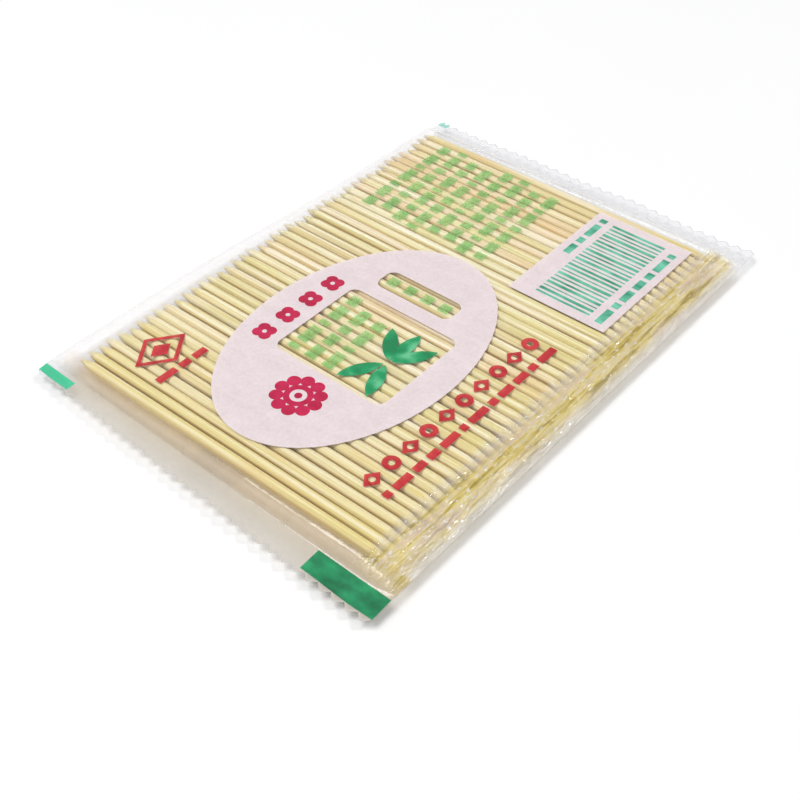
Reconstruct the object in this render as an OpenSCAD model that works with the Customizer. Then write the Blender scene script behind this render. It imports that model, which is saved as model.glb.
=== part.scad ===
// A flat pack of bamboo toothpicks, sealed in a clear film bag with plain coloured print.
// X runs along the toothpicks, Y along the bag from one sealed end to the other, Z up.
// The origin is at the middle of the underside.

/* [Toothpicks] */
// Length of a toothpick from point to point
pick_len = 66; // [58:1:72]
// Diameter of a toothpick
pick_d = 1.95; // [1.7:0.05:2.4]
// Length of the taper at each end of a toothpick
taper_len = 3.5; // [2.5:0.5:8]
// Diameter left at the very point
point_d = 0.4; // [0.2:0.1:0.8]
// Toothpicks side by side in the upper layer
upper_count = 45; // [38:1:45]
// Air left between neighbouring toothpicks
pick_gap = 0.02; // [0.01:0.01:0.2]
// Air left between the two layers
layer_gap = 0.06; // [0.02:0.01:0.3]
// Most that a toothpick lies askew, in degrees
askew = 0.25; // [0:0.05:0.4]
// Most that a toothpick is pushed endways
stagger = 0.8; // [0:0.1:1.2]

/* [Bag] */
// Thickness of the film
film_t = 0.12; // [0.1:0.01:0.3]
// Room between the toothpicks and the film over and under them
film_room = 0.05; // [0.02:0.01:0.3]
// Empty film past the points on the -X side
left_margin = 4.4; // [3:0.1:12]
// Empty film past the points on the +X side
right_margin = 4.6; // [3:0.1:12]
// How far inside the points the film starts to slope down
slope_in = 2; // [1.5:0.5:5]
// Length of the slope between the outermost toothpick and each sealed end
end_slope = 3; // [2:0.5:8]
// Width of the solid film in the folds along both sides and at the seals
fold_weld = 0.6; // [0.4:0.1:1.2]
// Length of each sealed end, tooth points included
fin_len = 5.4; // [5:0.1:12]
// Pitch of the zigzag cut
zig_pitch = 2.5; // [1.5:0.1:4]
// Depth of the zigzag cut
zig_depth = 1; // [0.5:0.1:2]
// Height of the gathers in the sloping film
gather_h = 0.3; // [0:0.05:0.5]
// Spacing of the gathers
gather_pitch = 5; // [4:0.5:10]

/* [Back seam] */
// Width of the lapped seam along the underside
seam_w = 9; // [5:0.5:15]
// Width of the line on each side of the seam
seam_line_w = 0.3; // [0.2:0.1:0.6]
// Depth of the line on each side of the seam
seam_line_t = 0.05; // [0.03:0.01:0.06]
// How far the seam's lines stop short of the flat underside's ends
seam_end = 1; // [0.5:0.5:5]

/* [White print] */
// Thickness of a layer of ink
ink_t = 0.04; // [0.03:0.01:0.06]
// Width of the white oval, along the toothpicks
oval_w = 38.2; // [36:0.2:42]
// Length of the white oval, across the toothpicks
oval_len = 56.4; // [50:0.2:60]
// Distance of the oval's near end from the outermost toothpick
oval_in = 4.6; // [2:0.2:8]
// Size of the large clear window along the toothpicks
window_w = 23; // [18:0.5:24]
// Size of the large clear window across the toothpicks
window_len = 20; // [16:0.5:22]
// Size of the small clear window along the toothpicks
slot_w = 16; // [14:0.5:20]
// Size of the small clear window across the toothpicks
slot_len = 5; // [4:0.5:6]
// Rounding of the windows' corners
window_r = 1.6; // [0.5:0.1:1.9]
// Width of the white panel under the bars, along the toothpicks
panel_w = 19.5; // [17:0.5:21]
// Distance of the panel from the edges of the flat top
panel_in = 1.2; // [0.5:0.1:3]
// Distance of the green rows from the left edge of the flat top
green_in = 4.6; // [1.5:0.1:5]
// Space between one printed field and the next
field_gap = 1.5; // [1:0.1:2]

/* [Coloured print] */
// Number of rows in the block of pale green dashes
green_rows = 8; // [4:1:8]
// Pitch of the green rows
green_pitch = 3.8; // [3:0.1:4]
// Width of a green dash
green_w = 2.1; // [1:0.1:2.6]
// Length of the longest dash in a row
longest_dash = 4.2; // [2:0.1:5]
// Space between two dashes
dash_space = 0.9; // [0.5:0.1:2]
// Length of a leaf of the sprig
leaf_len = 8; // [5:0.5:8.5]
// Width of a leaf of the sprig
leaf_w = 2.6; // [1.6:0.1:3]
// Length of the green mark at the near right corner, along the sealed end
mark_len = 13.5; // [8:0.5:16]
// Width of that mark
mark_w = 4; // [3:0.1:4.2]
// Length of the green mark at the near left corner
left_mark_len = 8; // [5:0.5:12]
// Width of that mark
left_mark_w = 2.8; // [2:0.1:4.2]
// Distance of both near marks from the tooth points
mark_inset = 1.1; // [0:0.1:1.2]
// Length of the small mark at the far left corner, which the zigzag cut runs through
far_mark_len = 4.5; // [3:0.5:8]
// Width of that mark, tooth points included
far_mark_w = 2; // [1.5:0.1:3]
// Length of the bars on the panel
bar_len = 11; // [8:0.5:12]
// Pitch of the bars
bar_pitch = 1.1; // [0.9:0.05:1.5]
// Width of the widest bar
bar_w = 0.75; // [0.4:0.01:0.8]
// Size of a large red ornament
red_w = 3; // [2:0.1:4]
// Pitch of the large red ornaments
red_pitch = 4.4; // [4.2:0.1:4.8]
// Number of large red ornaments
red_count = 10; // [6:1:11]
// Width of the small red dashes
small_w = 1.4; // [1:0.1:1.8]
// Length of the red lozenge, across the toothpicks
lozenge_len = 11; // [8:0.5:13]
// Width of the red lozenge, along the toothpicks
lozenge_w = 8; // [6:0.5:8.5]
// Size of a crimson ornament
bloom_d = 4.2; // [3:0.1:4.6]
// Pitch of the crimson ornaments
bloom_pitch = 5.6; // [4.8:0.1:6]
// Diameter of the crimson rosette
rosette_d = 9.4; // [7:0.2:10]

/* [Hidden] */
lower_groups = 8;
round_fn = 48;

// An irregular value between -1 and 1 for each whole number, from two waves
first_wave = 0.6;
function uneven(i, step_a, step_b) =
    first_wave * sin(i * step_a) + (1 - first_wave) * sin(i * step_b);

// The toothpicks' places. Neighbours lie askew a little, and far enough apart not to cross.
straight_half = pick_len / 2 - taper_len;
function lean(i) = askew * uneven(i, 47, 113);
function push(i) = stagger * uneven(i, 71, 139);
function pitch(i) = pick_d + pick_gap
    + (straight_half + stagger) * abs(tan(lean(i + 1)) - tan(lean(i)));
row_ys = [for (i = 1, y = 0; i <= upper_count; y = y + pitch(i), i = i + 1) y];
function upper_y(i) = row_ys[i - 1] - row_ys[upper_count - 1] / 2;
function lower_y(i) = (upper_y(i) + upper_y(i + 1)) / 2;
function lower_lean(i) = (lean(i) + lean(i + 1)) / 2;
last_axis_y = upper_y(upper_count);
block_half = last_axis_y + pick_d / 2;

// Heights, from the underside up
lower_z = film_t + film_room + pick_d / 2;
layer_rise = sqrt(pow(pick_d + layer_gap, 2) - pow((pick_d + pick_gap) / 2, 2));
upper_z = lower_z + layer_rise;
bag_h = upper_z + pick_d / 2 + film_room + film_t;
mid_z = bag_h / 2;

// The bag's plan, and the flat top that carries the print
bag_w = pick_len + left_margin + right_margin;
pick_x = (left_margin - right_margin) / 2;
seal_y = block_half + end_slope;
bag_end_y = seal_y + fin_len;
flat_x0 = -bag_w / 2 + left_margin + slope_in;
flat_x1 = bag_w / 2 - right_margin - slope_in;

// Names of the nodes
function two_digits(i) = i < 10 ? str("0", i) : str(i);
function upper_name(i) = str("toothpick_", two_digits(i));
function lower_name(g) = str("lower_toothpicks_", g);

// How high the film stands at a fraction of the slope between a fold and the flat top,
// and how much higher a gather stands there. A gather is highest a third of the way up.
slope_at = [0, 0.08, 0.2, 0.36, 0.58, 1];
gather_at = [0.08, 0.2, 0.36, 0.58, 0.85];
function mix(a, b, t) = a + (b - a) * t;
function rise(s) = 1 - pow(1 - s, 4);
gather_peak = 4 / 27;
function gather_rise(s) = gather_h * s * pow(1 - s, 2) / gather_peak;

// One slope, from its fold to the flat top, above or below the middle height
function slope(fold, flat, low, high, up) = [
    for (s = slope_at) [mix(fold, flat, s), mid_z + up * mix(low, high, rise(s))]
];
function reversed(points) = [for (k = [len(points) - 1:-1:0]) points[k]];
function pillow_profile(fold0, flat0, flat1, fold1, low, high) = concat(
    slope(fold1, flat1, low, high, 1),
    reversed(slope(fold0, flat0, low, high, 1)),
    slope(fold0, flat0, low, high, -1),
    reversed(slope(fold1, flat1, low, high, -1))
);

// A profile in X and Z swept along Y, and one in Y and Z swept along X
module along_y(length) {
    rotate([90, 0, 0])
    linear_extrude(length, center = true)
    children();
}
module along_x(length) {
    rotate([90, 0, 90])
    linear_extrude(length, center = true)
    children();
}

// The bag's form between the two seals, smaller all round by inset, with its edges
// and its flat faces this far from the middle height
module pillow(inset, low, high) {
    intersection() {
        along_y(2 * (seal_y - inset))
            polygon(pillow_profile(
                -bag_w / 2 + inset, flat_x0, flat_x1, bag_w / 2 - inset, low, high));
        along_x(2 * bag_w)
            polygon(pillow_profile(
                -seal_y + inset, -last_axis_y, last_axis_y, seal_y - inset, low, high));
    }
}

// One gather in the sloping film, which starts and ends just inside the slope.
// Gathers differ in width and lie a little out of step.
gather_in = 0.05;
gather_share = 0.3;
gather_share_change = 0.12;
gather_out_of_step = 0.18;
function gather_profile(fold, flat) = concat(
    [[mix(fold, flat, gather_in), mid_z]],
    [
        for (s = gather_at)
            [mix(fold, flat, s), mid_z + mix(film_t, mid_z, rise(s)) + gather_rise(s)]
    ],
    [[mix(fold, flat, 1 - gather_in), mid_z]]
);
function gather_width(k) = gather_pitch * (gather_share + gather_share_change * sin(k * 77));
function gather_jog(k) = gather_pitch * gather_out_of_step * sin(k * 131);

module gathers() {
    side_count = floor(2 * (last_axis_y - gather_pitch / 2) / gather_pitch);
    end_count = floor((flat_x1 - flat_x0) / gather_pitch);
    for (k = [0:side_count]) {
        y = (k - side_count / 2) * gather_pitch + gather_jog(k);
        translate([0, y, 0])
        along_y(gather_width(k))
        polygon(gather_profile(bag_w / 2, flat_x1));
        translate([0, -y, 0])
        along_y(gather_width(k + 7))
        polygon(gather_profile(-bag_w / 2, flat_x0));
    }
    for (k = [0:end_count]) {
        x = (k - end_count / 2) * gather_pitch + gather_jog(k + 3);
        for (end = [-1, 1])
            translate([(flat_x0 + flat_x1) / 2 + end * x, 0, 0])
            along_x(gather_width(k + 5))
            polygon(gather_profile(end * seal_y, end * last_axis_y));
    }
}

// The sealed end at +Y, with its zigzag cut
teeth = round(bag_w / zig_pitch);
zigzag = [
    for (k = [0:2 * teeth])
        [mix(bag_w / 2, -bag_w / 2, k / (2 * teeth)), bag_end_y - (k % 2 == 0 ? zig_depth : 0)]
];
module fin_outline() {
    start_y = seal_y - fold_weld / 2;
    polygon(concat([[-bag_w / 2, start_y], [bag_w / 2, start_y]], zigzag));
}

module film_bag() {
    color([0.93, 0.92, 0.97, 0.4])
    difference() {
        union() {
            pillow(0, film_t, mid_z);
            gathers();
            for (end = [0, 1])
                mirror([0, end, 0])
                translate([0, 0, mid_z - film_t])
                linear_extrude(2 * film_t)
                fin_outline();
        }
        pillow(fold_weld, film_room, mid_z - film_t);
        for (side = [-1, 1])
            translate([side * seam_w / 2, 0, 0])
            cube([seam_line_w, 2 * (last_axis_y - seam_end), 2 * seam_line_t], center = true);
    }
}

// A toothpick, lying along X with its middle at the origin
module toothpick_shape() {
    rotate([0, 90, 0])
    rotate_extrude($fn = round_fn)
    polygon([
        [0, -pick_len / 2],
        [point_d / 2, -pick_len / 2],
        [pick_d / 2, -straight_half],
        [pick_d / 2, straight_half],
        [point_d / 2, pick_len / 2],
        [0, pick_len / 2]
    ]);
}

module upper_toothpick(i) {
    color([0.9, 0.83, 0.6])
    translate([pick_x + push(i), upper_y(i), upper_z])
    rotate([0, 0, lean(i)])
    toothpick_shape();
}

module lower_toothpicks(group) {
    for (i = [group:lower_groups:upper_count - 1])
        color([0.84, 0.76, 0.52])
        translate([pick_x + push(i + upper_count), lower_y(i), lower_z])
        rotate([0, 0, lower_lean(i)])
        toothpick_shape();
}

// Ink that lies straight on the film, and ink that lies on white ink
module on_film() {
    translate([0, 0, bag_h])
    linear_extrude(ink_t)
    children();
}
module on_white() {
    translate([0, 0, bag_h + ink_t])
    linear_extrude(ink_t)
    children();
}

// The white oval and what is placed in it
oval_x = 0;
oval_y = -block_half + oval_in + oval_len / 2;
window_x = oval_x + field_gap;
window_y = oval_y;
slot_x = oval_x;
slot_y = window_y + window_len / 2 + 2 * field_gap + slot_len / 2;
window_rows = 3;
window_rows_x1 = window_x - window_w / 2 + field_gap + green_w + (window_rows - 1) * green_pitch;
bloom_x = window_x - window_w / 2 - field_gap - bloom_d / 2;
rosette_y = window_y - window_len / 2 - field_gap - rosette_d / 2;

// The white panel, from just short of the oval's far tip to the far right of the flat top
panel_x1 = flat_x1 - panel_in;
panel_x0 = panel_x1 - panel_w;
panel_y0 = oval_y + oval_len / 2 - field_gap / 2;
panel_y1 = last_axis_y - panel_in;
bars_x0 = panel_x0 + (panel_w - bar_len) / 2;

// The block of green rows, between the oval and the far left of the flat top
green_x0 = flat_x0 + green_in;
green_y0 = oval_y + oval_len / 2 + field_gap;
green_y1 = last_axis_y - panel_in;

// The red rows right of the oval, and the lozenge left of it
red_x = oval_x + oval_w / 2 + field_gap + red_w / 2;
red_y0 = oval_y - oval_len / 2 + red_pitch;
small_x = red_x + red_w / 2 + field_gap + small_w / 2;
lozenge_x = green_x0 - field_gap / 2 + lozenge_w / 2;
lozenge_y = -block_half + oval_in + lozenge_len / 2;

module rounded_box(middle_x, middle_y, w, l, r) {
    translate([middle_x, middle_y]) {
        square([w - 2 * r, l], center = true);
        square([w, l - 2 * r], center = true);
        for (x = [-1, 1], y = [-1, 1])
            translate([x * (w / 2 - r), y * (l / 2 - r)])
            circle(r, $fn = round_fn);
    }
}

module white_print() {
    color([0.95, 0.93, 0.97])
    on_film() {
        difference() {
            translate([oval_x, oval_y])
            polygon([for (a = [0:5:355]) [oval_w / 2 * cos(a), oval_len / 2 * sin(a)]]);
            rounded_box(window_x, window_y, window_w, window_len, window_r);
            rounded_box(slot_x, slot_y, slot_w, slot_len, window_r);
        }
        translate([panel_x0, panel_y0])
        square([panel_w, panel_y1 - panel_y0]);
    }
}

// A row of dashes along Y, of uneven lengths. The row ends inside its length.
dash_change = 0.35;
function dash_len(row, k) = longest_dash * (1 - dash_change + dash_change * sin(row * 83 + k * 151));
module dash_row(x, y0, y1, width, row) {
    starts = [
        for (
            k = 0, y = y0;
            y + dash_len(row, k) <= y1;
            y = y + dash_len(row, k) + dash_space, k = k + 1
        ) y
    ];
    for (k = [0:1:len(starts) - 1])
        translate([x - width / 2, starts[k]])
        square([width, dash_len(row, k)]);
}

// How unevenly the green rows start
ragged = 1;

module pale_green_print() {
    color([0.62, 0.84, 0.6])
    on_film() {
        // The block at the far left, with ragged ends
        for (row = [0:green_rows - 1])
            dash_row(
                green_x0 + green_w / 2 + row * green_pitch,
                green_y0 + ragged * (1 + sin(row * 100)), green_y1,
                green_w, row);
        // Rows seen through the left half of the large window
        for (row = [0:window_rows - 1])
            dash_row(
                window_x - window_w / 2 + field_gap + green_w / 2 + row * green_pitch,
                window_y - window_len / 2 + field_gap, window_y + window_len / 2 - field_gap,
                green_w, row + green_rows);
        // Squares seen through the small window
        for (k = [-1.5:1.5])
            translate([slot_x + k * green_pitch, slot_y])
            square(green_w, center = true);
    }
}

// A leaf from its stalk at the origin to its tip along +X, between two equal arcs
module leaf() {
    arc_r = (pow(leaf_len / 2, 2) + pow(leaf_w / 2, 2)) / leaf_w;
    intersection_for (side = [-1, 1])
        translate([leaf_len / 2, side * (arc_r - leaf_w / 2)])
        circle(arc_r, $fn = 4 * round_fn);
}

// Ink on the upper face of a sealed end, the far one (0) or the near one (1)
module on_fin(end) {
    mirror([0, end, 0])
        translate([0, 0, mid_z + film_t])
        linear_extrude(ink_t)
        intersection() {
            fin_outline();
            children();
        }
}

// The outline of a mark at the right corner (0) or the left corner (1)
module corner_mark(side, length, width, inset) {
    mirror([side, 0])
        translate([bag_w / 2 - length, bag_end_y - inset - width])
        square([length, width]);
}

module green_print() {
    color([0.1, 0.6, 0.38]) {
        // A sprig of five leaves in the right half of the large window
        on_film()
            translate([(window_rows_x1 + window_x + window_w / 2) / 2, window_y - leaf_w / 2])
            for (turn = [56, 90, 124, 240, 288])
                rotate(turn)
                translate([leaf_w / 4, 0])
                leaf();
        // Corner marks on the sealed ends
        on_fin(1)
            corner_mark(0, mark_len, mark_w, mark_inset);
        on_fin(1)
            corner_mark(1, left_mark_len, left_mark_w, mark_inset);
        on_fin(0)
            corner_mark(1, far_mark_len, far_mark_w, 0);
    }
}

// How much narrower than the widest the bars are, on average
bar_change = 0.3;

module teal_print() {
    bars = floor((panel_y1 - panel_y0 - 2 * field_gap) / bar_pitch);
    first_y = (panel_y0 + panel_y1 - (bars - 1) * bar_pitch) / 2;
    color([0.35, 0.72, 0.6])
    on_white() {
        for (k = [0:bars - 1]) {
            width = bar_w * (1 - bar_change + bar_change * sin(k * 137));
            translate([bars_x0, first_y + k * bar_pitch - width / 2])
            square([bar_len, width]);
        }
        // Plain dashes on both sides of the bars
        dash_row(
            (bars_x0 + bar_len + panel_x1) / 2, panel_y0 + field_gap, panel_y1 - field_gap,
            small_w, 1);
        dash_row(
            (bars_x0 + panel_x0) / 2, (panel_y0 + panel_y1) / 2, panel_y1 - field_gap,
            small_w, 2);
    }
}

module lozenge(w, l) {
    polygon([[w / 2, 0], [0, l / 2], [-w / 2, 0], [0, -l / 2]]);
}

// Sizes of the parts of an ornament, as shares of its own size
red_stretch = 1.3;
red_hole = 0.38;
frame_inside = 0.78;
frame_core = 0.4;
bloom_hole = 0.2;
rosette_disc = 0.52;
rosette_ring = 0.3;
rosette_eye = 0.14;

module red_print() {
    color([0.8, 0.14, 0.2])
    on_film() {
        // Lozenges and rings by turns
        for (k = [0:red_count - 1])
            translate([red_x, red_y0 + red_w / 2 + k * red_pitch])
            difference() {
                if (k % 2 == 0)
                    lozenge(red_w, red_w * red_stretch);
                else
                    circle(d = red_w, $fn = round_fn);
                circle(d = red_w * red_hole, $fn = round_fn);
            }
        dash_row(small_x, red_y0, red_y0 + red_count * red_pitch, small_w, 3);
        // A framed lozenge on the left, with a row of dashes beside it
        translate([lozenge_x, lozenge_y]) {
            difference() {
                lozenge(lozenge_w, lozenge_len);
                lozenge(lozenge_w * frame_inside, lozenge_len * frame_inside);
            }
            lozenge(lozenge_w * frame_core, lozenge_len * frame_core);
        }
        dash_row(
            lozenge_x + lozenge_w / 2 + small_w, lozenge_y - lozenge_len / 2,
            lozenge_y + lozenge_len / 2, small_w, 5);
    }
}

module crimson_print() {
    color([0.72, 0.08, 0.28])
    on_white() {
        // Four blooms of four petals, in a row along Y
        for (k = [-1.5:1.5])
            translate([bloom_x, window_y + k * bloom_pitch])
            difference() {
                for (turn = [45:90:315])
                    rotate(turn)
                    translate([bloom_d / 4, 0])
                    circle(d = bloom_d / 2, $fn = round_fn);
                circle(d = bloom_d * bloom_hole, $fn = round_fn);
            }
        // A rosette: a ring of round petals about a disc
        translate([oval_x + field_gap, rosette_y]) {
            petal_d = rosette_d / 4;
            for (turn = [0:36:324])
                rotate(turn)
                translate([(rosette_d - petal_d) / 2, 0])
                circle(d = petal_d, $fn = round_fn);
            difference() {
                circle(d = rosette_d * rosette_disc, $fn = round_fn);
                circle(d = rosette_d * rosette_ring, $fn = round_fn);
            }
            circle(d = rosette_d * rosette_eye, $fn = round_fn);
        }
    }
}

film_bag();
for (i = [1:upper_count])
    upper_toothpick(i);
for (g = [1:lower_groups])
    lower_toothpicks(g);
white_print();
pale_green_print();
green_print();
teal_print();
red_print();
crimson_print();
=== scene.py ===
"""A flat, sealed film pack of bamboo toothpicks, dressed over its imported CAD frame.

X runs along the toothpicks, Y along the bag, Z up. Sizes in this script are in millimetres
and become metres where meshes, lamps and the camera are made.
"""

import math
import random

import bmesh
import bpy
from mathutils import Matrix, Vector, noise


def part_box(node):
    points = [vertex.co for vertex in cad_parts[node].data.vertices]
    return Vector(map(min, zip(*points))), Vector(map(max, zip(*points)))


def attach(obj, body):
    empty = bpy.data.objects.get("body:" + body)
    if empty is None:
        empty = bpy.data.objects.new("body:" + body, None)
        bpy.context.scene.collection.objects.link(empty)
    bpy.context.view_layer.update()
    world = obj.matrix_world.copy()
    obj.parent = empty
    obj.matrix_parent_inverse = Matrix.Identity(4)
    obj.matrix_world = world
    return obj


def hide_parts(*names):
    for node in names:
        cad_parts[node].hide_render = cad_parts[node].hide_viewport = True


MM = 0.001

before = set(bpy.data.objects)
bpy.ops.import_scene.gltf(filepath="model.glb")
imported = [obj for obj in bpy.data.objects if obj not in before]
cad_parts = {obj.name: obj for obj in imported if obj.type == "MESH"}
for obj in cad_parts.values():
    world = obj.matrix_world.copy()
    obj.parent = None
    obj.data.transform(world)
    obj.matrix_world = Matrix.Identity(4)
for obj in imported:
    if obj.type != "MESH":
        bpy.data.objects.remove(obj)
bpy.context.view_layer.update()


# The bag's main sizes, read from the frame

def box_mm(node):
    low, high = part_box(node)
    return low / MM, high / MM


bag_high = box_mm("film_bag")[1]
HALF_W = bag_high.x
END_Y = bag_high.y
BAG_H = box_mm("white_print")[0].z
MID_Z = BAG_H / 2
STICK_YS = [
    (low.y + high.y) / 2
    for low, high in (box_mm(f"toothpick_{i:02d}") for i in range(1, 46))
]
LAST_Y = STICK_YS[-1]

# Sizes that the frame doesn't name
SEAL_LEN = 5.4
LEFT_SLOPE_W = 6.4
RIGHT_SLOPE_W = 6.6
TOOTH_W = 2.5
TOOTH_DEPTH = 1.0
STICK_R = 0.975
TAPER = 3.5
SEAM_W = 9.0
SEAM_WELD_W = 1.2
SEAM_STEP = 0.03
HALF_SHEET_GAP = 0.045

# How far the loose film is drawn in: along its left side, and along Y at the left corners
LEFT_DRAW_NEAR = 0.4
LEFT_DRAW_MORE = 2.3
NEAR_CORNER_DRAW = 3.4
FAR_CORNER_DRAW = -1.0

# Where the seals and the flat top end
SEAL_Y = END_Y - SEAL_LEN
FLAT_X0 = -HALF_W + LEFT_SLOPE_W
FLAT_X1 = HALF_W - RIGHT_SLOPE_W

# How finely the film is divided
TOOTH_COLUMNS = 6
COLUMNS = TOOTH_COLUMNS * round(2 * HALF_W / TOOTH_W)
FIN_ROWS = 11
SLOPE_ROWS = 10
PITCH_ROWS = 4
INK_STEP_X = 0.8
INK_STEP_Y = 0.5


def clamp(value, low=0.0, high=1.0):
    return min(high, max(low, value))


def smooth(value, start, end):
    """0 before start and 1 after end, with a soft passage between them."""
    t = clamp((value - start) / (end - start))
    return t * t * (3 - 2 * t)


# The film's form

def ridge(x, y, seed):
    """Waves with sharp crests, from about -0.3 in the hollows to 1 on the crests."""
    return 1 - 2.2 * abs(noise.noise(Vector((x, y, seed))))


def right_crush(x):
    return smooth(x, FLAT_X1 - 2.5, FLAT_X1 + 1.5)


def left_crush(x):
    return smooth(-x, -FLAT_X0 - 1, -FLAT_X0 + 5)


def end_crush(y):
    return smooth(abs(y), LAST_Y - 2, LAST_Y + 1.5)


def stick_ripple(y):
    """The film's slight sag between two toothpicks: 0 over each one, 1 halfway."""
    if abs(y) >= LAST_Y:
        return 0.0
    pitch = 2 * LAST_Y / (len(STICK_YS) - 1)
    return 0.5 - 0.5 * math.cos(2 * math.pi * (y + LAST_Y) / pitch)


def fin_wave(x, y):
    """How far a sealed end bends up or down out of its plane."""
    out = smooth(abs(y), SEAL_Y - 0.5, END_Y)
    side = 1 if y > 0 else -1
    return out * (
        0.6 * noise.noise(Vector((x / 15, side * 7.3, 1.7)))
        + 0.12 * noise.noise(Vector((x / 5, side * 3.1, abs(y) / 12)))
        - 0.25
    )


def film_z(x, y, up):
    """Height of the upper film (up = 1) or the lower film (up = -1)."""
    share_x = clamp(min((x + HALF_W) / (FLAT_X0 + HALF_W), (HALF_W - x) / (HALF_W - FLAT_X1)))
    share_y = clamp((SEAL_Y - abs(y)) / (SEAL_Y - LAST_Y))
    swell = (1 - (1 - share_x) ** 4) * (1 - (1 - share_y) ** 4)
    open_x = smooth(share_x, 0.0, 0.12)
    open_y = smooth(share_y, 0.0, 0.2)
    full = MID_Z if up > 0 else MID_Z - 0.06
    height = 0.03 * open_x * (1 - swell) + full * swell

    # Long creases and small crumples on the right slope, broad ones on the left
    crush = 0.28 * right_crush(x) * (ridge(x / 1.9, y / 10, 4.1 * up) - 0.75)
    crush += 0.14 * right_crush(x) * (ridge(x / 1.2 + 9, y / 2.6, 8.3 * up) - 0.7)
    crush += 0.1 * left_crush(x) * (ridge(x / 5, y / 4.2, 2.9 * up) - 0.6)
    gather = 0.07 * end_crush(y) * (ridge(x / 7, y / 9, 5.7 * up) - 0.6)
    broad = 0.02 + 0.05 * noise.noise(Vector((x / 11, y / 16, 3.3 * up)))
    ripple = 0.022 * stick_ripple(y) * (1 - end_crush(y))
    if up > 0:
        height += open_x * open_y * (crush + gather + broad * swell - ripple)
        height = min(height, full + 0.11)
    else:
        height -= 0.35 * open_x * open_y * (abs(crush + gather) + broad * swell)
    apart = HALF_SHEET_GAP * smooth(abs(y), SEAL_Y - 1.5, SEAL_Y - 0.5)
    return MID_Z + fin_wave(x, y) + up * max(height, apart)


def drawn_in(x, y):
    """Where a spot of the bag's plan lies once the loose film is drawn in at its left side."""
    left = clamp((HALF_W - x) / (2 * HALF_W)) ** 1.3
    outer = clamp((abs(y) - LAST_Y - 1) / (END_Y - LAST_Y - 1))
    margin = clamp((FLAT_X0 - 1.5 - x) / (FLAT_X0 - 1.5 + HALF_W))
    inward = LEFT_DRAW_NEAR + LEFT_DRAW_MORE * smooth(y, -22, 26)
    pull = NEAR_CORNER_DRAW if y < 0 else FAR_CORNER_DRAW
    return x + inward * margin, y + pull * left * outer


def outline_y(column):
    """Where the zigzag cut lies at a column of the film's grid."""
    phase = 2 * (column % TOOTH_COLUMNS) / TOOTH_COLUMNS
    return END_Y - TOOTH_DEPTH * abs(1 - phase)


def rows_to_seal():
    """Rows from seal to seal: even steps within each toothpick's pitch, and on each slope."""
    rows = []
    for low, high in zip(STICK_YS, STICK_YS[1:]):
        rows += [low + (high - low) * k / PITCH_ROWS for k in range(PITCH_ROWS)]
    rows.append(LAST_Y)
    slope = [
        LAST_Y + (SEAL_Y - LAST_Y) * k / SLOPE_ROWS for k in range(1, SLOPE_ROWS + 1)
    ]
    return [-y for y in reversed(slope)] + rows + slope


# Materials

def srgb(red, green, blue):
    """A linear colour from display values of 0 to 255."""
    def linear(value):
        value /= 255
        return value / 12.92 if value <= 0.04045 else ((value + 0.055) / 1.055) ** 2.4
    return (linear(red), linear(green), linear(blue), 1.0)


class Shader:
    """A material, or the world, with short calls that add and join its nodes."""

    def __init__(self, name, kinds=bpy.data.materials):
        self.material = kinds.new(name)
        self.material.use_nodes = True
        self.tree = self.material.node_tree
        self.tree.nodes.clear()

    def add(self, kind, inputs=None, **settings):
        node = self.tree.nodes.new("ShaderNode" + kind)
        for name, value in settings.items():
            setattr(node, name, value)
        for name, value in (inputs or {}).items():
            if isinstance(value, bpy.types.NodeSocket):
                self.tree.links.new(value, node.inputs[name])
            else:
                node.inputs[name].default_value = value
        return node

    def attribute(self, name):
        return self.add("Attribute", attribute_name=name).outputs["Fac"]

    def place(self, x, y, z):
        """Object coordinates counted in cells of this many millimetres."""
        where = self.add("TexCoord").outputs["Object"]
        cells = (1 / (x * MM), 1 / (y * MM), 1 / (z * MM))
        return self.add("Mapping", {"Vector": where, "Scale": cells}).outputs["Vector"]

    def noise(self, where, w=0.0, detail=2.0, rough=0.5):
        inputs = {"Vector": where, "W": w, "Scale": 1.0, "Detail": detail, "Roughness": rough}
        return self.add("TexNoise", inputs, noise_dimensions="4D").outputs["Fac"]

    def math(self, operation, a, b=0.0):
        return self.add("Math", {0: a, 1: b}, operation=operation).outputs[0]

    def between(self, value, low, high, to_low=0.0, to_high=1.0):
        """value's range from low to high, stretched to another range and held inside it."""
        inputs = {
            "Value": value, "From Min": low, "From Max": high, "To Min": to_low, "To Max": to_high
        }
        return self.add("MapRange", inputs).outputs["Result"]

    def mix(self, share, a, b, blend="MIX"):
        inputs = {"Fac": share, "Color1": a, "Color2": b}
        return self.add("MixRGB", inputs, blend_type=blend).outputs["Color"]

    def ramp(self, value, stops):
        node = self.add("ValToRGB", {"Fac": value})
        elements = node.color_ramp.elements
        while len(elements) < len(stops):
            elements.new(0.5)
        for element, (position, colour) in zip(elements, stops):
            element.position = position
            element.color = colour
        return node.outputs["Color"]

    def bump(self, height, distance, strength=1.0):
        inputs = {"Height": height, "Distance": distance * MM, "Strength": strength}
        return self.add("Bump", inputs).outputs["Normal"]

    def blend(self, share, first, second):
        inputs = {"Fac": share, 1: first, 2: second}
        return self.add("MixShader", inputs).outputs["Shader"]

    def show(self, surface):
        self.add("OutputMaterial", {"Surface": surface})
        return self.material


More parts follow.
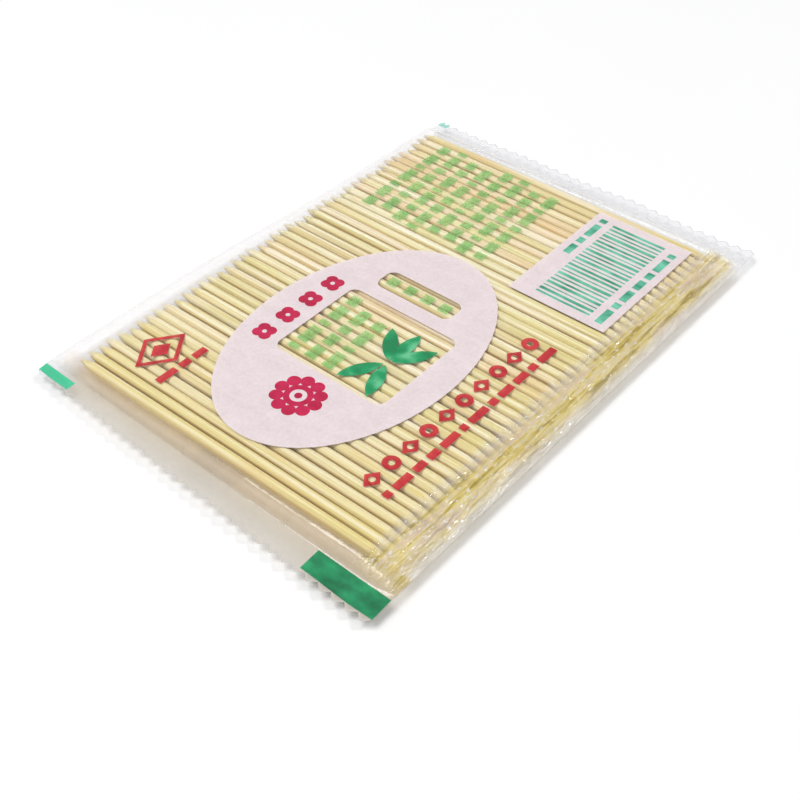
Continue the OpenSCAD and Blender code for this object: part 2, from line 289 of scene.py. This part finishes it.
def bamboo_material():
    """Bare turned bamboo, each toothpick of a slightly different tone, with fine long fibres, and
    painted shade: a darker brown on each toothpick's sides where it meets its neighbours.
    """
    s = Shader("bamboo")
    stick = s.attribute("stick")
    along = s.attribute("along")
    own = s.math("MULTIPLY", stick, 61.0)
    tone = s.ramp(stick, [
        (0.0, srgb(244, 235, 204)),
        (0.16, srgb(241, 230, 178)),
        (0.3, srgb(232, 222, 160)),
        (0.44, srgb(244, 228, 196)),
        (0.58, srgb(226, 218, 158)),
        (0.72, srgb(240, 216, 172)),
        (0.86, srgb(247, 241, 216)),
        (1.0, srgb(236, 225, 170)),
    ])
    patches = s.noise(s.place(16, 4, 4), own)
    tone = s.mix(s.between(patches, 0.54, 0.7, 0.0, 0.6), tone, srgb(236, 200, 150))
    tone = s.mix(s.between(patches, 0.44, 0.3, 0.0, 0.5), tone, srgb(220, 214, 134))
    tone = s.mix(s.between(along, 0.72, 1.0, 0.0, 0.5), tone, srgb(226, 208, 116))
    fibres = s.noise(s.place(14, 0.14, 0.14), own, 4.0, 0.65)
    tone = s.mix(s.between(fibres, 0.48, 0.3, 0.0, 0.6), tone, srgb(186, 154, 92))
    strands = s.noise(s.place(26, 0.4, 0.4), own, 1.0)
    tone = s.mix(s.between(strands, 0.52, 0.68, 0.0, 0.85), tone, srgb(253, 248, 228))
    tone = s.mix(s.between(strands, 0.48, 0.34, 0.0, 0.6), tone, srgb(206, 186, 104))
    across = s.add("SeparateXYZ", {"Vector": s.place(1, 1, 1)}).outputs["Y"]
    tone = s.mix(s.between(across, -5.0, -40.0, 0.0, 0.4), tone, srgb(230, 208, 122))
    tone = s.mix(s.between(across, 22.0, 42.0, 0.0, 0.3), tone, srgb(232, 200, 140))
    # Painted shade: the toothpicks' sides towards their neighbours are mixed, unevenly, towards a
    # dark brown, standing in for the shade in the gaps between them.
    uneven = s.between(s.noise(s.place(45, 1.2, 5), 13.0, 1.0), 0.36, 0.62, 0.1, 1.0)
    painted_gap_shade = s.math("MULTIPLY", s.attribute("painted_gap_shade"), uneven)
    tone = s.mix(painted_gap_shade, tone, srgb(178, 140, 50))
    surface = s.add("BsdfPrincipled", {
        "Base Color": tone,
        "Roughness": s.between(fibres, 0.3, 0.7, 0.62, 0.42),
        "Normal": s.bump(fibres, 0.05),
        "Specular IOR Level": 0.35,
    })
    return s.show(surface.outputs["BSDF"])


def film_material():
    """Thin clear film with a little haze, which glints on its fine crinkles; more glints are
    painted as white specks on its crushed side, and the bamboo's colour seen through it is painted
    into its haze on the near and right slopes.
    """
    s = Shader("clear_film")
    haze = s.attribute("haze")
    crushed = s.attribute("crushed")
    warm = s.attribute("warm")
    clouds = s.noise(s.place(3.5, 3.5, 3.5), 0.4, 3.0)
    # Painted glints: white specks in fine noise on the crushed film, standing in for highlights.
    painted_glints = s.between(s.noise(s.place(0.4, 1.3, 0.6), 6.1, 2.0), 0.6, 0.68, 0.0, 0.8)
    painted_glints = s.math("MULTIPLY", painted_glints, crushed)
    normal = film_normal(s, crushed)
    pale = s.mix(clouds, srgb(250, 248, 250), srgb(255, 254, 255))
    # Painted colour seen through the film: olive and straw streaks along the creases, and beige
    # patches, stand in for the bamboo showing through and in the crushed film.
    flecks = s.noise(s.place(0.8, 11, 1.4), 3.3, 3.0, 0.6)
    straw = s.ramp(flecks, [
        (0.37, srgb(166, 142, 42)),
        (0.45, srgb(222, 196, 86)),
        (0.53, srgb(244, 228, 164)),
        (0.64, srgb(236, 212, 184)),
    ])
    patches = s.noise(s.place(2.4, 9, 2.4), 8.8, 2.0)
    straw = s.mix(s.between(patches, 0.53, 0.64, 0.0, 0.6), straw, srgb(228, 206, 188))
    tint = s.mix(warm, pale, s.mix(crushed, srgb(220, 192, 152), straw))
    tint = s.mix(s.attribute("sealed"), tint, s.mix(warm, srgb(226, 226, 230), srgb(208, 196, 174)))
    # Painted glints make the haze white and nearly opaque in small specks.
    tint = s.mix(painted_glints, tint, (1.0, 1.0, 1.0, 1.0))
    lit = s.add("BsdfDiffuse", {"Color": tint, "Normal": normal}).outputs["BSDF"]
    through = s.add("BsdfTranslucent", {"Color": tint, "Normal": normal}).outputs["BSDF"]
    milky = s.blend(0.12, lit, through)
    clear = s.add("BsdfTransparent", {"Color": (1.0, 1.0, 1.0, 1.0)}).outputs["BSDF"]
    cover = s.math("MULTIPLY", haze, s.between(clouds, 0.3, 0.7, 0.85, 1.12))
    cover = s.math("MAXIMUM", cover, s.math("MULTIPLY", painted_glints, 0.9))
    body = s.blend(cover, clear, milky)
    gloss = s.add("BsdfGlossy", {
        "Color": (1.0, 1.0, 1.0, 1.0), "Roughness": 0.08, "Normal": normal
    }).outputs["BSDF"]
    facing = s.add("LayerWeight", {"Blend": 0.5, "Normal": normal}).outputs["Facing"]
    shine = s.between(s.math("POWER", facing, 5.0), 0.0, 1.0, 0.045, 1.0)
    return s.show(s.blend(shine, body, gloss))


def film_normal(s, crushed):
    """The film's fine relief: creases along its crushed side, and faint lines everywhere."""
    waves = s.noise(s.place(1.0, 3.6, 1.4), 2.2, 3.0)
    creases = s.math("ABSOLUTE", s.math("SUBTRACT", waves, 0.5))
    lines = s.noise(s.place(5, 0.6, 2), 7.1, 1.0)
    height = s.math("ADD", s.math("MULTIPLY", creases, crushed), s.math("MULTIPLY", lines, 0.012))
    return s.bump(height, 0.9)


def ink_material(name, deep, pale, cover):
    """Ink printed on film: two near tones, a little uneven, and part see-through."""
    s = Shader(name)
    wear = s.noise(s.place(0.6, 0.6, 0.6), 1.0, 3.0, 0.6)
    drift = s.noise(s.place(4, 2.5, 4), 5.0, 2.0)
    tone = s.mix(s.between(drift, 0.35, 0.65), srgb(*deep), srgb(*pale))
    if name == "green_ink":
        tone = green_tone(s, tone, drift)
    coat = s.add("BsdfPrincipled", {
        "Base Color": tone,
        "Roughness": s.between(wear, 0.3, 0.7, 0.28, 0.42),
        "Specular IOR Level": 0.3,
        "Normal": s.bump(wear, 0.008),
    }).outputs["BSDF"]
    stain = s.add("BsdfTransparent", {"Color": s.mix(0.5, tone, (1.0, 1.0, 1.0, 1.0))})
    spread = 0.24 if cover < 0.5 else 0.05
    share = s.between(wear, 0.3, 0.7, cover - spread, min(1.0, cover + spread))
    return s.show(s.blend(share, stain.outputs["BSDF"], coat))


def green_tone(s, tone, drift):
    """The green ink's tones: deep at the right mark, mixed in the leaves, and at the left marks a
    painted lighter mint, for light shining through the same translucent ink from behind.
    """
    spot = s.add("SeparateXYZ", {"Vector": s.place(1, 1, 1)}).outputs
    leafy = s.ramp(s.noise(s.place(3.0, 3.0, 3.0), 9.0, 1.0), [
        (0.36, srgb(8, 130, 78)),
        (0.52, srgb(24, 156, 98)),
        (0.68, srgb(104, 198, 146)),
    ])
    in_sprig = s.between(s.math("ABSOLUTE", spot["Y"]), 40.0, 39.0)
    at_left = s.between(spot["X"], -5.0, -6.0)
    tone = s.mix(in_sprig, tone, leafy)
    # Painted light: the left marks, and the far-left one most, get a lighter mint for light from
    # behind showing through the ink.
    tone = s.mix(at_left, tone, s.mix(drift, srgb(44, 180, 132), srgb(84, 210, 164)))
    far_left = s.math("MULTIPLY", at_left, s.between(spot["Y"], 20.0, 21.0))
    return s.mix(far_left, tone, srgb(158, 216, 204))


def floor_material():
    """White paper, which keeps the pack's shadow near it and is seen as plain white far from it."""
    s = Shader("floor_paper")
    grain = s.noise(s.place(40, 40, 40), 0.0, 4.0)
    tone = s.mix(grain, (0.94, 0.94, 0.945, 1.0), (0.96, 0.96, 0.965, 1.0))
    paper = s.add("BsdfDiffuse", {"Color": tone}).outputs["BSDF"]
    where = s.add("TexCoord").outputs["Object"]
    metres = s.add("VectorMath", {0: where}, operation="LENGTH").outputs["Value"]
    far = s.math("MULTIPLY", s.between(metres, 0.11, 0.3), seen_rays(s))
    white = s.add("Emission", {"Color": (1.0, 1.0, 1.0, 1.0), "Strength": 1.0}).outputs["Emission"]
    return s.show(s.blend(far, paper, white))


def seen_rays(s):
    """1 for rays from the camera, straight, mirrored or refracted."""
    path = s.add("LightPath").outputs
    seen = s.math("MAXIMUM", path["Is Camera Ray"], path["Is Glossy Ray"])
    return s.math("MAXIMUM", seen, path["Is Transmission Ray"])


# Pieces

def add_piece(name, mesh, material, slot, *cad_nodes):
    """A smooth piece that rides on the pack's one body and stands for these CAD nodes."""
    mesh.materials.append(material)
    mesh.polygons.foreach_set("use_smooth", [True] * len(mesh.polygons))
    piece = bpy.data.objects.new(name, mesh)
    bpy.context.scene.collection.objects.link(piece)
    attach(piece, "root")
    if cad_nodes:
        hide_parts(*cad_nodes)
    return piece


def stick_ends(cad_node):
    """The left and the right point of every toothpick in a CAD node."""
    points = sorted((v.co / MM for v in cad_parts[cad_node].data.vertices), key=lambda p: p.y)
    sticks = [[points[0]]]
    for point in points[1:]:
        if point.y - sticks[-1][-1].y > 1:
            sticks.append([])
        sticks[-1].append(point)
    ends = []
    for stick in sticks:
        left_x = min(p.x for p in stick)
        right_x = max(p.x for p in stick)
        left = [p for p in stick if p.x < left_x + 0.05]
        right = [p for p in stick if p.x > right_x - 0.05]
        ends.append((sum(left, Vector()) / len(left), sum(right, Vector()) / len(right)))
    return ends


def ring_places(length):
    """Distances of a toothpick's rings from its left point."""
    taper = [0.0, 0.1, 0.3, 0.65, 1.1, 1.6, 2.2, 2.8, 3.4, 4.0, 5.0]
    middle_count = 20
    span = length - 2 * taper[-1]
    middle = [taper[-1] + span * k / middle_count for k in range(1, middle_count)]
    return taper + middle + [length - t for t in reversed(taper)]


def add_stick(bm, marks, left, right, rng):
    """One turned toothpick from its left to its right point, a little uneven, as bamboo is."""
    sides = 14
    axis = (right - left).normalized()
    across = Vector((0, 0, 1)).cross(axis).normalized()
    above = axis.cross(across)
    length = (right - left).length
    facets = [rng.uniform(0.965, 1.0) for _ in range(sides)]
    flat_turn = rng.uniform(0, math.pi)
    thick = rng.uniform(0.955, 1.0)
    blunt = [rng.uniform(0.13, 0.2), rng.uniform(0.13, 0.2)]
    tapers = [rng.uniform(0.85, 1.15) * TAPER, rng.uniform(0.85, 1.15) * TAPER]
    shade = rng.random()
    seed = rng.uniform(0, 99)
    rings = []
    for place in ring_places(length):
        end = 0 if place < length / 2 else 1
        inward = clamp(min(place, length - place) / tapers[end])
        radius = blunt[end] + (STICK_R * thick - blunt[end]) * (1 - (1 - inward) ** 1.6)
        if min(place, length - place) < 0.05:
            radius *= 0.6
        wander = 0.02 * noise.noise(Vector((place / 9, seed, 0)))
        centre = left + axis * place + across * wander * inward
        ring = []
        for k in range(sides):
            turn = 2 * math.pi * (k + 0.5) / sides
            uneven = 1 - 0.035 * math.cos(turn - flat_turn) ** 2
            uneven -= 0.02 * abs(noise.noise(Vector((place / 6, k * 3.7, seed))))
            reach = radius * facets[k] * uneven
            spot = centre + (across * math.cos(turn) + above * math.sin(turn)) * reach
            vert = bm.verts.new(spot * MM)
            vert[marks["stick"]] = shade
            vert[marks["along"]] = place / length
            # Painted shade: how far this point lies on the toothpick's side towards its neighbours,
            # away from its points; a darker brown is mixed in there.
            vert[marks["painted_gap_shade"]] = smooth(abs(math.cos(turn)), 0.78, 1.0) * inward
            ring.append(vert)
        rings.append(ring)
    for near, far in zip(rings, rings[1:]):
        for k in range(sides):
            j = (k + 1) % sides
            bm.faces.new((near[k], near[j], far[j], far[k]))
    bm.faces.new(list(reversed(rings[0])))
    bm.faces.new(rings[-1])


def toothpick_piece(name, cad_node, material, rng):
    bm = bmesh.new()
    marks = {mark: bm.verts.layers.float.new(mark) for mark in ("stick", "along", "painted_gap_shade")}
    for left, right in stick_ends(cad_node):
        add_stick(bm, marks, left, right, rng)
    mesh = bpy.data.meshes.new(name)
    bm.normal_update()
    bm.to_mesh(mesh)
    bm.free()
    return add_piece(name, mesh, material, "bamboo", cad_node)


def haze_at(x, y, up):
    """How milky the film is: clearest over the toothpicks, milkier at the margins and seals."""
    in_seal = smooth(abs(y), SEAL_Y - 1, SEAL_Y)
    slope = smooth(abs(y), LAST_Y + 0.6, LAST_Y + 2.4) * (1 - in_seal)
    slope_haze, seal_haze = (0.46, 0.42) if y < 0 else (0.2, 0.32)
    ends = slope_haze * slope + seal_haze * in_seal
    left = 0.88 * smooth(-x, 29.4, 34.4) * (1 - 0.6 * smooth(-x, 34.2, 36.6))
    left *= 1 - 0.5 * in_seal
    right = 0.7 * smooth(x, FLAT_X1 - 1.5, FLAT_X1 + 2.5)
    right *= 1 - 0.7 * smooth(abs(y), LAST_Y, SEAL_Y)
    amount = 0.02 + max(left, ends, right)
    return amount if up > 0 else 0.5 * amount


def sealed_at(y):
    """1 on the sealed ends, where two sheets are pressed together and look a little darker."""
    return smooth(abs(y), SEAL_Y - 0.6, SEAL_Y + 0.2)


def warm_at(x, y):
    """Where the bamboo's colour, seen through the film close behind it, is painted into the film's
    haze as a beige and straw tint: the near and right slopes.
    """
    near = smooth(-y, LAST_Y - 1, LAST_Y + 1) * (1 - 0.4 * smooth(-y, SEAL_Y, END_Y))
    right = smooth(x, FLAT_X1 - 1, FLAT_X1 + 2) * (1 - smooth(abs(y), LAST_Y, SEAL_Y))
    right *= 1 - 0.8 * smooth(x, HALF_W - 1.8, HALF_W - 0.2)
    return max(near * smooth(x, -36, -28), right)


def crushed_at(x, y):
    """How strongly the fine creases show, and where glints and straw streaks are painted on them:
    most on the right slope, hardly on the seals.
    """
    sides = max(right_crush(x), 0.12 * left_crush(x), 0.05 * end_crush(y))
    return 0.03 + sides * (1 - 0.9 * smooth(abs(y), SEAL_Y - 2.5, SEAL_Y + 0.5))


def film_piece(name, material):
    """The bag: an upper and a lower sheet that meet in the side folds and along the zigzag cuts."""
    middle_rows = rows_to_seal()
    xs = [-HALF_W + 2 * HALF_W * c / COLUMNS for c in range(COLUMNS + 1)]

    def column_ys(column):
        tip = outline_y(column)
        fin = [SEAL_Y + (tip - SEAL_Y) * k / FIN_ROWS for k in range(1, FIN_ROWS + 1)]
        return [-y for y in reversed(fin)] + middle_rows + fin

    bm = bmesh.new()
    haze, crushed, warm, sealed = [
        bm.verts.layers.float.new(mark) for mark in ("haze", "crushed", "warm", "sealed")
    ]
    sheets = {}
    for up in (1, -1):
        grid = []
        for column, x in enumerate(xs):
            ys = column_ys(column)
            line = []
            for row, y in enumerate(ys):
                cut = row in (0, len(ys) - 1)
                rim = cut or column in (0, COLUMNS)
                if rim and up < 0:
                    line.append(sheets[1][column][row])
                    continue
                z = film_z(x, y, up)
                if rim:
                    z = MID_Z + fin_wave(x, y)
                vert = bm.verts.new(Vector((*drawn_in(x, y), z)) * MM)
                vert[haze] = haze_at(x, y, up)
                vert[crushed] = crushed_at(x, y)
                vert[warm] = warm_at(x, y)
                vert[sealed] = sealed_at(y)
                if cut:
                    vert[haze] = 0.75
                    vert[sealed] = 1.3
                line.append(vert)
            grid.append(line)
        sheets[up] = grid
        for first, second in zip(grid, grid[1:]):
            for row in range(len(first) - 1):
                corners = (first[row], second[row], second[row + 1], first[row + 1])
                bm.faces.new(corners if up > 0 else tuple(reversed(corners)))
    for line in (sheets[1][0], sheets[1][-1]):
        for a, b in zip(line, line[1:]):
            bm.edges.get((a, b)).smooth = False
    for end in (0, -1):
        for first, second in zip(sheets[1], sheets[1][1:]):
            bm.edges.get((first[end], second[end])).smooth = False
    mesh = bpy.data.meshes.new(name)
    bm.to_mesh(mesh)
    bm.free()
    return add_piece(name, mesh, material, "clear_film", "film_bag")


def seam_piece(name, material):
    """The lapped strip of film along the middle of the underside, welded along both its edges."""
    half = SEAM_W / 2
    inner = half - SEAM_WELD_W
    xs = [-half, -inner, -half / 2, 0.0, half / 2, inner, half]
    rows = rows_to_seal()
    rows = [-END_Y + 2, -SEAL_Y - 1.5] + rows + [SEAL_Y + 1.5, END_Y - 2]
    bm = bmesh.new()
    haze, crushed, warm = [
        bm.verts.layers.float.new(mark) for mark in ("haze", "crushed", "warm")
    ]
    grid = []
    for x in xs:
        line = []
        for y in rows:
            z = max(film_z(x, y, -1) - SEAM_STEP, 0.004)
            vert = bm.verts.new(Vector((*drawn_in(x, y), z)) * MM)
            vert[haze] = 0.16 if abs(x) > inner - 0.01 else 0.05
            vert[crushed] = 0.05
            vert[warm] = 0.0
            line.append(vert)
        grid.append(line)
    for first, second in zip(grid, grid[1:]):
        for row in range(len(rows) - 1):
            bm.faces.new((first[row], first[row + 1], second[row + 1], second[row]))
    mesh = bpy.data.meshes.new(name)
    bm.to_mesh(mesh)
    bm.free()
    return add_piece(name, mesh, material, "clear_film")


def cut_finely(bm, axis, places):
    """Divides a mesh at these places along an axis, so that it can follow the film's form."""
    direction = Vector((0, 0, 0))
    direction[axis] = 1
    for place in places:
        geometry = bm.verts[:] + bm.edges[:] + bm.faces[:]
        bmesh.ops.bisect_plane(
            bm, geom=geometry, dist=1e-8, plane_co=direction * place * MM, plane_no=direction
        )


def print_piece(name, cad_node, lift, material, slot):
    """Ink on the film: a printed node's upper faces, laid on the film's form."""
    bm = bmesh.new()
    bm.from_mesh(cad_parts[cad_node].data)
    bmesh.ops.remove_doubles(bm, verts=bm.verts, dist=0.0005 * MM)
    bm.normal_update()
    others = [face for face in bm.faces if face.normal.z < 0.9]
    bmesh.ops.delete(bm, geom=others, context="FACES")
    bmesh.ops.dissolve_limit(bm, angle_limit=0.01, verts=bm.verts, edges=bm.edges)
    low, high = box_mm(cad_node)
    xs = [FLAT_X0 + INK_STEP_X * k for k in range(-12, 90)]
    on_fins = [end * (SEAL_Y + INK_STEP_Y * k) for end in (-1, 1) for k in range(1, 11)]
    ys = rows_to_seal() + on_fins
    cut_finely(bm, 0, [x for x in xs if low.x < x < high.x])
    cut_finely(bm, 1, [y for y in ys if low.y < y < high.y])
    for vert in bm.verts:
        x, y = vert.co.x / MM, vert.co.y / MM
        vert.co = Vector((*drawn_in(x, y), film_z(x, y, 1) + lift)) * MM
    mesh = bpy.data.meshes.new(name)
    bm.to_mesh(mesh)
    bm.free()
    return add_piece(name, mesh, material, slot, cad_node)


# Stage

def add_floor():
    bpy.ops.mesh.primitive_plane_add(size=4, location=(0, 0, -0.02 * MM))
    floor = bpy.context.object
    floor.name = "floor"
    floor.data.materials.append(floor_material())


def add_lamp(name, direction, distance, size, share):
    """A square lamp that gives a face turned to it this share of a white render's light."""
    lamp = bpy.data.lights.new(name, "AREA")
    lamp.size = size
    lamp.energy = share * math.pi ** 2 * distance ** 2
    lamp_object = bpy.data.objects.new(name, lamp)
    bpy.context.scene.collection.objects.link(lamp_object)
    towards = Vector(direction).normalized()
    lamp_object.location = towards * distance
    lamp_object.rotation_mode = "QUATERNION"
    lamp_object.rotation_quaternion = towards.to_track_quat("Z", "Y")


def add_world(share):
    """A white surround, which lights the pack with only this share of its light."""
    s = Shader("white_room", bpy.data.worlds)
    bpy.context.scene.world = s.material
    strength = s.between(seen_rays(s), 0.0, 1.0, share, 1.0)
    white = s.add("Background", {"Color": (1.0, 1.0, 1.0, 1.0), "Strength": strength})
    s.add("OutputWorld", {"Surface": white.outputs["Background"]})


def add_camera():
    """The photograph's view: from the near right, looking down over the pack."""
    camera = bpy.data.cameras.new("camera")
    camera.sensor_width = 36
    camera.lens = 55.125
    camera.clip_start = 10 * MM
    camera_object = bpy.data.objects.new("camera", camera)
    bpy.context.scene.collection.objects.link(camera_object)
    camera_object.location = Vector((103.9, -126.3, 135.3)) * MM
    turn, down = math.radians(40), math.radians(43.3)
    forward = Vector((
        -math.sin(turn) * math.cos(down), math.cos(turn) * math.cos(down), -math.sin(down)
    ))
    camera_object.rotation_mode = "QUATERNION"
    camera_object.rotation_quaternion = forward.to_track_quat("-Z", "Y")
    bpy.context.scene.camera = camera_object


# The pack

rng = random.Random(11)
bamboo = bamboo_material()
for i in range(1, 46):
    toothpick_piece(f"bamboo_toothpick_{i:02d}", f"toothpick_{i:02d}", bamboo, rng)
for group in range(1, 9):
    toothpick_piece(f"lower_layer_{group}", f"lower_toothpicks_{group}", bamboo, rng)

film = film_material()
film_piece("film_sheets", film)
seam_piece("back_seam", film)

INKS = [
    ("white_print", 0.01, (234, 219, 222), (240, 226, 229), 0.9),
    ("pale_green_print", 0.01, (138, 206, 128), (180, 230, 158), 0.38),
    ("green_print", 0.01, (0, 108, 66), (36, 160, 104), 0.92),
    ("teal_print", 0.02, (40, 150, 114), (126, 216, 186), 0.86),
    ("red_print", 0.01, (186, 28, 44), (214, 58, 68), 0.84),
    ("crimson_print", 0.02, (182, 16, 64), (206, 34, 84), 0.92),
]
for cad_node, lift, deep, pale, cover in INKS:
    slot = cad_node.replace("_print", "_ink")
    ink = ink_material(slot, deep, pale, cover)
    print_piece(cad_node.replace("_print", "_artwork"), cad_node, lift, ink, slot)

add_floor()
add_world(0.36)
add_lamp("key", (-0.3, -0.38, 1.2), 1.2, 0.6, 0.63)
add_lamp("rim", (0.45, 0.45, 0.9), 1.0, 0.14, 0.2)
add_camera()
bpy.context.scene.view_settings.view_transform = "Standard"
